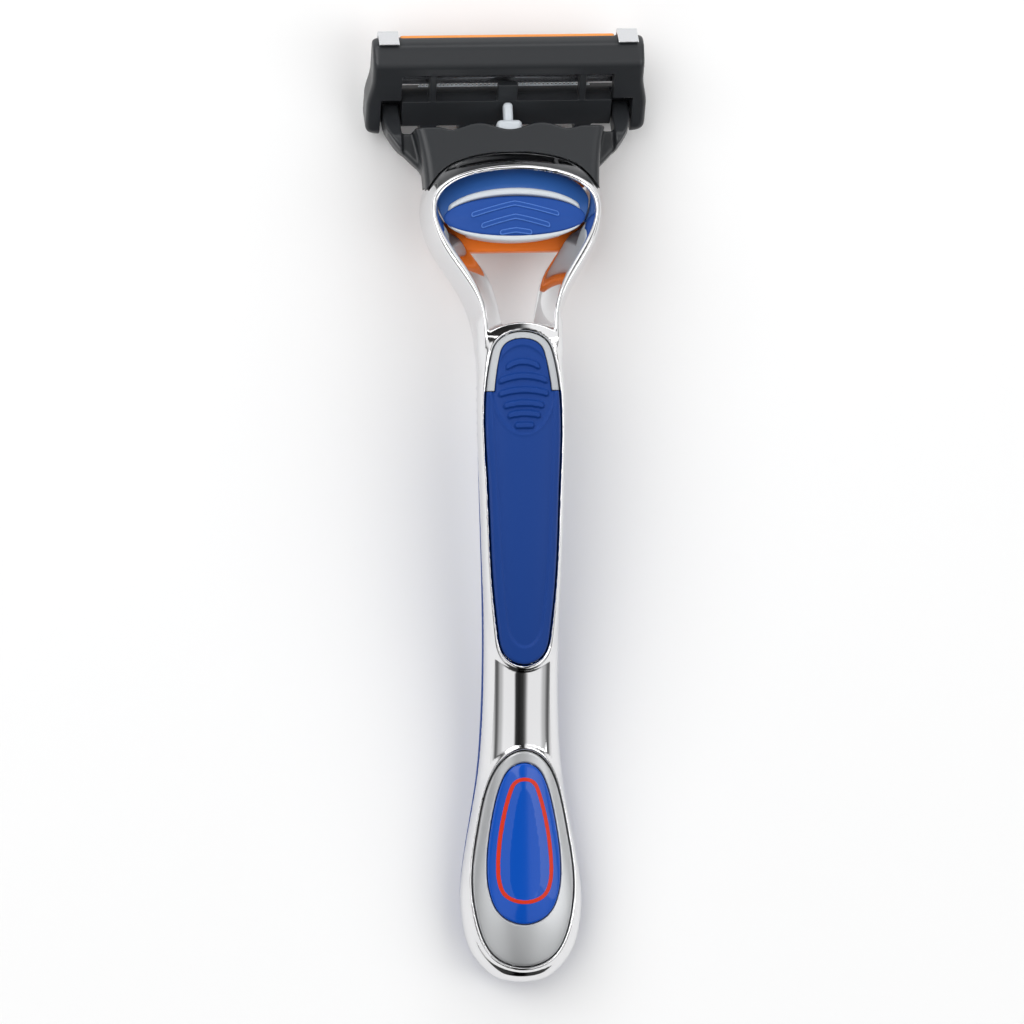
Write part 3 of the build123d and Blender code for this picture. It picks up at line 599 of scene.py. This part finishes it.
def cartridge_housing(x, a, n):
    at = (np.abs(x), a, n)
    shape = unit_hull(x, a, n)
    for middle, half, radius in HOUSING_CUTS:
        shape = soft_max(shape, -rounded_box(at, middle, half, radius), 0.12)
    post = rounded_box(at, (11.1, 1.3, 3.9), (0.5, 2.6, 1.1), 0.15)
    track = rounded_box((x, a, n), (0, -0.3, 4.4), (1.5, 2.1, 0.6), 0.2)
    shape = soft_min(shape, np.minimum(post, track), 0.15)
    rod = np.maximum(np.hypot(a - ROD_A, n - ROD_N) - 0.48, np.abs(x) - 15.9)
    shape = soft_min(shape, rod, 0.15)
    for middle, half in KNUCKLES:
        knuckle = np.hypot(a - ROD_A, n - ROD_N) - 1.5
        shape = soft_min(shape, soft_max(knuckle, np.abs(np.abs(x) - middle) - half, 0.25), 0.12)
    peak = soft_max((np.abs(x) + (a + 5.2) * 1.1 - 1.75) * 0.7, np.abs(n - 1.1) - 1.12, 0.15)
    return soft_min(shape, np.maximum(peak, -6.2 - a), 0.12)


HOUSING_CUTS = [  # each box as middle, half size and corner radius, on both sides of the middle
    ((0, FIRST_BLADE_A + 2.35, 1.3), (17.6, 3.0, 1.55), 0.15),  # the blades' pocket
    ((0, FIRST_BLADE_A + 2.2, 3.0), (15.7, 2.35, 4.0), 0.3),  # the rinse window
    ((0, 6.05, 0.0), (15.98, 1.42, 1.2), 0.15),  # the strip's tray
    ((0, -3.6, 0.0), (18.08, 1.66, 1.3), 0.3),  # the fins' seat
    ((3.1, -6.9, 1.5), (1.45, 1.4, 5.0), 0.2),  # the guard's openings
    ((8.62, -6.9, 1.5), (1.67, 1.4, 5.0), 0.2),
    ((14.1, -6.9, 1.5), (1.4, 1.4, 5.0), 0.2),
    ((ARM_MIDDLE, -4.5, 4.3), (1.55, 3.7, 3.05), 0.2),  # room for the yoke's arms
    ((19.6, PIVOT_A, PIVOT_N), (0.9, 1.05, 1.05), 0.9),  # the pivot's seats
]


COMB_PITCH = 0.62


def guard_comb(x, a, n):
    """A row of small teeth between the fins and the first blade."""
    near = (x + COMB_PITCH / 2) % COMB_PITCH - COMB_PITCH / 2
    tooth = rounded_box((near, a, n), (0, -1.5, 0.2), (0.17, 0.3, 0.2), 0.1)
    bar = rounded_box((x, a, n), (0, -1.72, 0.5), (13.0, 0.2, 0.2), 0.08)
    return soft_max(soft_min(tooth, bar, 0.08), np.abs(x) - 12.8, 0.05)


def blade_spots(x, a, n, edge_a):
    """The two flat weld spots on one blade, where its support holds it."""
    rake = math.radians(BLADE_RAKE)
    along = (a - edge_a) * math.cos(rake) + (n - BLADE_N) * math.sin(rake)
    above = -(a - edge_a) * math.sin(rake) + (n - BLADE_N) * math.cos(rake)
    return rounded_box((np.abs(x), along, above), (11.1, 0.6, -0.07), (0.45, 0.4, 0.07), 0.05)


def end_clip(x, a, n):
    """A metal clip that wraps the unit's end: a narrow strap, a wider hook with a slot, and its two legs."""
    strap = rounded_box((x, a, n), (18.0, 1.9, -0.12), (1.0, 3.6, 0.13), 0.1)
    hook = rounded_box((x, a, n), (17.7, 6.6, -0.12), (1.5, 1.35, 0.13), 0.1)
    wrap = rounded_box((x, a, n), (17.7, 8.0, 1.4), (1.5, 0.14, 1.65), 0.1)
    foot = rounded_box((x, a, n), (18.0, -1.5, 1.4), (1.0, 0.13, 1.6), 0.1)
    metal = soft_min(soft_min(strap, hook, 0.5), soft_min(wrap, foot, 0.1), 0.3)
    slot = rounded_box((x, a, n), (17.7, 6.9, 0), (0.95, 0.22, 1.0), 0.1)
    return soft_max(metal, -slot, 0.08)


STRIP_GROOVE_PITCH = 0.9


def lube_strip(x, a, n):
    """The strip in its tray, crowned, with faint lengthwise grooves on its face."""
    crown = rounded_box((x, a, n), (0, 6.05, 0.42), (15.9, 1.35, 0.66), 0.3)
    return crown + 0.025 * np.cos(a * math.tau / STRIP_GROOVE_PITCH) * step(0.1 - n, 0.3)


def guard_fins(x, a, n):
    """Five soft fins, leaning a little, on a flat base."""
    base = rounded_box((x, a, n), (0, -3.6, 0.95), (18.0, 1.6, 0.35), 0.12)
    fin = np.full_like(x, FAR)
    for i in range(5):
        lean = 0.35 * (0.7 - n)
        middle = -4.8 + 0.6 * i - lean * 0.4
        fin = np.minimum(fin, np.hypot(a - middle, np.maximum(np.abs(n - 0.5) - 0.35, 0)) - 0.15)
    return soft_min(base, np.maximum(fin, np.abs(x) - 17.8), 0.1)


# ---------------------------------------------------------------- meshes
NEAR = 4  # grid steps between the coarse samples that find where the surface runs
PROBE = 0.02


def gradient(field, points):
    slopes = []
    for axis in range(3):
        ahead, back = points.copy(), points.copy()
        ahead[:, axis] += PROBE
        back[:, axis] -= PROBE
        slopes.append((field(*ahead.T) - field(*back.T)) / (2 * PROBE))
    return np.stack(slopes, 1)


def sample(field, axes, cell):
    """The field on a grid, worked out closely only where the surface may run."""
    grid = np.meshgrid(*axes, indexing="ij")
    coarse = field(*[g[::NEAR, ::NEAR, ::NEAR] for g in grid])
    spread = coarse
    for axis, points in enumerate(axes):
        spread = np.repeat(spread, NEAR, axis).take(range(len(points)), axis)
    near = np.abs(spread) < cell * NEAR * 2.2
    spread[near] = field(*[g[near] for g in grid])
    return spread


CORNERS = np.array([(i, j, k) for i in (0, 1) for j in (0, 1) for k in (0, 1)])
EDGES = [(a, b) for a in range(8) for b in range(a, 8) if np.abs(CORNERS[a] - CORNERS[b]).sum() == 1]


def surface_net(value):
    """One vertex in each grid cell that the surface crosses, and a quad round each crossed grid edge."""
    inside = value < 0
    count = np.zeros(np.array(value.shape) - 1, int)
    for i, j, k in CORNERS:
        count += inside[i:i + count.shape[0], j:j + count.shape[1], k:k + count.shape[2]]
    crossed = (count > 0) & (count < 8)
    cells = np.argwhere(crossed)
    index = np.full(crossed.shape, -1)
    index[crossed] = np.arange(len(cells))
    total, hits = np.zeros((len(cells), 3)), np.zeros(len(cells))
    for a, b in EDGES:
        first = value[tuple((cells + CORNERS[a]).T)]
        second = value[tuple((cells + CORNERS[b]).T)]
        cut = (first < 0) != (second < 0)
        share = (first[cut] / (first[cut] - second[cut]))[:, None]
        total[cut] += CORNERS[a] + share * (CORNERS[b] - CORNERS[a])
        hits[cut] += 1
    quads = []
    for axis in range(3):
        one, two = (axis + 1) % 3, (axis + 2) % 3
        lower = inside.take(range(value.shape[axis] - 1), axis)
        upper = inside.take(range(1, value.shape[axis]), axis)
        found = np.argwhere(lower != upper)
        found = found[(found[:, one] > 0) & (found[:, two] > 0)]
        found = found[(found[:, one] < value.shape[one] - 1) & (found[:, two] < value.shape[two] - 1)]
        steps = np.zeros((4, 3), int)
        steps[:, one] = (0, -1, -1, 0)
        steps[:, two] = (0, 0, -1, -1)
        quad = np.stack([index[tuple((found + move).T)] for move in steps], 1)
        out = lower[tuple(found.T)]
        quad[~out] = quad[~out][:, ::-1]
        quads.append(quad)
    return cells + total / hits[:, None], np.concatenate(quads)


def skin(name, field, low, high, cell, matrix, body_name, material, stands_for=()):
    """The mesh of a field's zero surface inside a box, riding on a body."""
    axes = [np.arange(a - 1.6 * cell, b + 1.7 * cell, cell) for a, b in zip(low, high)]
    points, quads = surface_net(sample(field, axes, cell))
    points = points * cell + [axis[0] for axis in axes]
    for _ in range(3):
        slope = gradient(field, points)
        size = np.maximum((slope ** 2).sum(1), 0.05)
        move = (field(*points.T) / size)[:, None] * slope
        points -= np.clip(move, -0.5 * cell, 0.5 * cell)
    slope = gradient(field, points)
    normals = slope / np.maximum(np.linalg.norm(slope, axis=1), 1e-6)[:, None]
    mesh = bpy.data.meshes.new(name)
    turn = np.array(matrix.to_3x3())
    mesh.from_pydata((points @ turn.T + np.array(matrix.translation)).tolist(), [], quads.tolist())
    mesh.polygons.foreach_set("use_smooth", np.ones(len(quads), bool))
    turned = normals @ turn.T / MM
    mesh.normals_split_custom_set_from_vertices(turned.tolist())
    return add(name, mesh, body_name, material, stands_for)


def add(name, mesh, body_name, material, stands_for=()):
    piece = bpy.data.objects.new(name, mesh)
    bpy.context.scene.collection.objects.link(piece)
    mesh.materials.append(material)
    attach(piece, body_name)
    if stands_for:
        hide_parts(*stands_for)
    return piece


# ---------------------------------------------------------------- materials
def principled(name, color, rough, **sockets):
    material = bpy.data.materials.new(name)
    material.use_nodes = True
    shader = material.node_tree.nodes["Principled BSDF"]
    shader.inputs["Base Color"].default_value = (*color, 1)
    shader.inputs["Roughness"].default_value = rough
    for socket, value in sockets.items():
        shader.inputs[socket.replace("_", " ").title().replace("Ior", "IOR")].default_value = value
    return material


def grain(material, scale, strength):
    """A fine procedural surface grain, as a bump."""
    tree = material.node_tree
    place_node = tree.nodes.new("ShaderNodeTexCoord")
    noise = tree.nodes.new("ShaderNodeTexNoise")
    bump = tree.nodes.new("ShaderNodeBump")
    noise.inputs["Scale"].default_value = scale
    noise.inputs["Detail"].default_value = 3
    bump.inputs["Strength"].default_value = strength
    bump.inputs["Distance"].default_value = 0.00005
    tree.links.new(place_node.outputs["Object"], noise.inputs["Vector"])
    tree.links.new(noise.outputs["Fac"], bump.inputs["Height"])
    tree.links.new(bump.outputs["Normal"], tree.nodes["Principled BSDF"].inputs["Normal"])
    return material


CHROME = principled("chrome", (0.80, 0.80, 0.81), 0.06, metallic=1.0)
BLUE_RUBBER = principled("blue_rubber", (0.008, 0.046, 0.235), 0.5, specular_ior_level=0.15)
grain(BLUE_RUBBER, 9000, 0.25)
GREY_RUBBER = grain(principled("grey_rubber", (0.46, 0.48, 0.50), 0.42), 9000, 0.15)
SATIN = grain(principled("satin_plate", (0.50, 0.51, 0.52), 0.36, metallic=0.7), 12000, 0.12)
LENS_BLUE = principled("blue_lens", (0.003, 0.075, 0.45), 0.25, specular_ior_level=0.1, coat_weight=0.5,
                       coat_roughness=0.02)
RED_TRIM = principled("red_trim", (0.62, 0.03, 0.005), 0.35, specular_ior_level=0.2)
PALE_PLASTIC = principled("grey_plastic", (0.58, 0.62, 0.66), 0.35)
PAD_BLUE = grain(principled("button_blue", (0.016, 0.07, 0.31), 0.45, specular_ior_level=0.15), 9000, 0.15)
SHIELD_BLUE = principled("button_shield_blue", (0.03, 0.11, 0.36), 0.3, specular_ior_level=0.3)
# a lighter blue that paints the highlight along the chevron strokes' edges
PAINTED_HIGHLIGHT_BLUE = principled("button_painted_highlight_blue", (0.07, 0.18, 0.55), 0.4, specular_ior_level=0.2)
ORANGE = principled("orange_plastic", (0.80, 0.17, 0.012), 0.32, specular_ior_level=0.3)
BLACK = grain(principled("black_plastic", (0.022, 0.024, 0.027), 0.34, specular_ior_level=0.4), 7000, 0.1)
FIN_BLACK = principled("fin_rubber", (0.03, 0.032, 0.036), 0.5)
STEEL = principled("blade_steel", (0.62, 0.63, 0.65), 0.18, metallic=1.0)
CLIP = principled("clip_metal", (0.74, 0.75, 0.77), 0.25, metallic=1.0)
STRIP = principled("orange_strip", (0.85, 0.27, 0.04), 0.45, subsurface_weight=0.1)

# ---------------------------------------------------------------- the razor
skin("chrome_frame_skin", chrome_frame, (-13.6, 0.0, 0.0), (13.6, 124.5, 22.6), 0.275,
     HANDLE, "handle", CHROME, ("chrome_frame",))
skin("back_grip_skin", back_grip, (-9.2, 0.2, 0.0), (9.2, 90.0, 17.5), 0.28,
     HANDLE, "handle", BLUE_RUBBER, ("back_grip",))
skin("back_inlay_skin", back_inlay, (-5.0, 6.2, 0.0), (5.0, 31.2, 1.6), 0.2,
     HANDLE, "handle", GREY_RUBBER, ("back_inlay",))
skin("pad_crescent_skin", pad_crescent, (-5.8, 84.0, 14.48), (5.8, 96.48, 22.4), 0.16,
     HANDLE, "handle", GREY_RUBBER, ("thumb_pad_base",))
skin("thumb_pad_skin", thumb_pad, (-5.8, 46.8, 12.72), (5.8, 96.08, 22.8), 0.16,
     HANDLE, "handle", BLUE_RUBBER, ("thumb_pad",))
skin("tail_plate_skin", tail_plate, (-7.8, 2.1, 6.0), (7.8, 34.6, 14.2), 0.2,
     HANDLE, "handle", SATIN, ("tail_plate",))
skin("tail_lens_skin", tail_lens, (-5.6, 8.6, 8.5), (5.6, 32.6, 14.6), 0.2,
     HANDLE, "handle", LENS_BLUE, ("tail_lens",))
skin("accent_ring_skin", accent_ring, (-4.4, 11.6, 9.5), (4.4, 30.5, 14.6), 0.1,
     HANDLE, "handle", RED_TRIM, ("accent_ring",))
skin("button_core_skin", button_core, (-10.7, -0.8, -2.6), (10.7, 8.6, 3.2), 0.16,
     HEAD, "ejector", PALE_PLASTIC, ("ejector_core",))
skin("button_pad_skin", button_pad, (-10.6, 0.2, 1.4), (10.6, 6.6, 3.2), 0.1,
     HEAD, "ejector", PAD_BLUE, ("ejector_pad",))
# lighter blue beads on the chevron strokes: painted highlight on their edges
painted_highlights = skin("chevron_painted_highlights", chevron_painted_highlights, (-6.8, 0.3, 2.0), (6.8, 6.0, 3.1), 0.09,
            HEAD, "ejector", PAINTED_HIGHLIGHT_BLUE)
skin("button_shield_skin", button_shield, (-11.6, 2.4, -2.0), (11.6, 11.6, 3.0), 0.14,
     HEAD, "ejector", SHIELD_BLUE, ("ejector_shield",))
skin("under_pad_skin", under_pad, (-10.3, -1.6, -4.1), (10.3, 8.0, -2.2), 0.16,
     HEAD, "ejector", ORANGE, ("ejector_under_pad",))

skin("dock_skin", dock_block, (-11.9, 9.5, -3.4), (11.9, 18.6, 1.4), 0.2,
     HEAD, "handle", PALE_PLASTIC, ("dock_block",))
skin("plunger_skin", plunger, (-2.0, 14.4, -3.0), (2.0, 21.5, 1.0), 0.12,
     HEAD, "plunger", PALE_PLASTIC, ("plunger",))
skin("yoke_skin", yoke, (-20.2, 6.0, -7.3), (20.2, 22.8, 2.5), 0.2,
     HEAD, "connector", BLACK, ("yoke",))
skin("housing_skin", cartridge_housing, (-20.9, -8.1, -0.2), (20.9, 8.1, 5.2), 0.17,
     UNIT, "blade_unit", BLACK, ("cartridge_housing",))
skin("guard_fins_skin", guard_fins, (-18.1, -5.3, -0.1), (18.1, -1.9, 1.4), 0.12,
     UNIT, "blade_unit", FIN_BLACK, ("guard_fins",))
skin("lube_strip_skin", lube_strip, (-16.0, 4.6, -0.3), (16.0, 7.5, 1.2), 0.14,
     UNIT, "blade_unit", STRIP, ("lube_strip",))
for name, side in (("clip_left", -1), ("clip_right", 1)):
    inner, outer = sorted((16.1 * side, 19.3 * side))
    skin(name + "_skin", lambda x, a, n, side=side: end_clip(x * side, a, n),
         (inner, -1.8, -0.4), (outer, 8.3, 3.2), 0.09, UNIT, "blade_unit", CLIP, (name,))

# the comb's teeth are pale plastic to show the bright specks along the guard: painted highlight, not their own
# colour
comb = skin("guard_comb", guard_comb, (-12.9, -2.0, -0.05), (12.9, -1.1, 0.75), 0.1,
            UNIT, "blade_unit", PALE_PLASTIC)
for i in range(BLADES):
    edge = FIRST_BLADE_A + i * BLADE_PITCH
    spots = skin(f"blade_{i + 1}_spots", lambda x, a, n, edge=edge: blade_spots(x, a, n, edge),
                 (-11.7, edge - 0.1, -0.1), (11.7, edge + 1.2, 0.9), 0.1, UNIT, f"blade_{i + 1}", CLIP)

KEPT = {"plunger_spring": STEEL}
for node in frame["nodes"]:
    if node.startswith("blade_"):
        KEPT[node] = STEEL
for node, material in KEPT.items():
    for slot in frame["nodes"][node].material_slots:
        slot.material = material

# ---------------------------------------------------------------- floor, light and camera
FLOOR_HALF = 3.0
floor_mesh = bpy.data.meshes.new("floor")
corners = [(x * FLOOR_HALF, y * FLOOR_HALF, 0) for x, y in ((-1, -1), (1, -1), (1, 1), (-1, 1))]
floor_mesh.from_pydata(corners, [], [(0, 1, 2, 3)])
floor = bpy.data.objects.new("floor", floor_mesh)
floor_mesh.materials.append(principled("floor_paper", (0.9, 0.9, 0.9), 0.9, specular_ior_level=0.0))
bpy.context.scene.collection.objects.link(floor)
floor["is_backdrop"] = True


def studio_ramp(tree, source, stops):
    """Brightness of the room along one direction, as (position, value) stops."""
    ramp_node = tree.nodes.new("ShaderNodeValToRGB")
    ramp_node.color_ramp.interpolation = "EASE"
    elements = ramp_node.color_ramp.elements
    for at, value in stops:
        elements.new(at).color = (value, value, value, 1)
    elements.remove(elements[0])
    elements.remove(elements[-1])
    tree.links.new(source, ramp_node.inputs["Fac"])
    return ramp_node.outputs["Color"]


def maths(tree, operation, *values):
    node = tree.nodes.new("ShaderNodeMath")
    node.operation = operation
    for socket, value in zip(node.inputs, values):
        if isinstance(value, (int, float)):
            socket.default_value = value
        else:
            tree.links.new(value, socket)
    return node.outputs[0]


def studio_world():
    """A pale room with a dark slot overhead and a dark end by the tail, for the plating to mirror."""
    world = bpy.data.worlds.new("studio")
    bpy.context.scene.world = world
    world.use_nodes = True
    tree = world.node_tree
    where = tree.nodes.new("ShaderNodeTexCoord")
    parts = tree.nodes.new("ShaderNodeSeparateXYZ")
    tree.links.new(where.outputs["Generated"], parts.inputs["Vector"])
    across = maths(tree, "ABSOLUTE", parts.outputs["X"])
    ahead = maths(tree, "MULTIPLY_ADD", parts.outputs["Y"], 0.5, 0.5)
    sides = studio_ramp(tree, across, ((0.0, 0.02), (0.10, 0.04), (0.2, 1.05), (0.62, 1.05), (0.8, 0.6),
                                       (0.93, 0.12), (1.0, 0.4)))
    ends = studio_ramp(tree, ahead, ((0.0, 0.03), (0.10, 0.06), (0.2, 0.9), (0.5, 1.0), (1.0, 1.0)))
    back = tree.nodes["Background"]
    tree.links.new(maths(tree, "MULTIPLY", sides, ends), back.inputs["Color"])
    back.inputs["Strength"].default_value = 1.0


studio_world()
bpy.context.scene.view_settings.view_transform = "Standard"

low, high = (Vector(corner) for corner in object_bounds())
MIDDLE_POINT = (low + high) / 2


def softbox(name, direction, distance, size, power):
    light = bpy.data.lights.new(name, "AREA")
    light.shape = "RECTANGLE"
    light.size, light.size_y = size
    light.energy = power
    lamp = bpy.data.objects.new(name, light)
    bpy.context.scene.collection.objects.link(lamp)
    direction = Vector(direction).normalized()
    lamp.location = MIDDLE_POINT + direction * distance
    lamp.rotation_euler = direction.to_track_quat("Z", "Y").to_euler()


softbox("key", (-0.55, 0.35, 0.9), 0.9, (0.5, 0.9), 3.0)
softbox("fill", (0.7, -0.1, 0.8), 0.9, (0.35, 0.9), 1.6)
softbox("front", (0.0, 0.9, 0.5), 0.9, (0.9, 0.3), 1.4)

VIEW_WIDTH = 0.1506  # metres across the picture at the razor
CAMERA_DISTANCE = 1.2
LEAN, ROLL = math.radians(6.7), math.radians(1.1)
SENSOR = 36.0
camera_data = bpy.data.cameras.new("camera")
camera_data.sensor_width = SENSOR
camera_data.lens = SENSOR * CAMERA_DISTANCE / VIEW_WIDTH
camera_data.clip_end = 10
camera = bpy.data.objects.new("camera", camera_data)
bpy.context.scene.collection.objects.link(camera)
back_axis = Vector((-math.sin(LEAN), 0, math.cos(LEAN)))
level_right = Vector((math.cos(LEAN), 0, math.sin(LEAN)))
level_up = Vector((0, 1, 0))
right = level_right * math.cos(ROLL) - level_up * math.sin(ROLL)
upward = level_right * math.sin(ROLL) + level_up * math.cos(ROLL)
target = MIDDLE_POINT + Vector((-0.0008, -0.0008, 0))
basis = Matrix((right, upward, back_axis)).transposed().to_4x4()
camera.matrix_world = Matrix.Translation(target + back_axis * CAMERA_DISTANCE) @ basis
bpy.context.scene.camera = camera
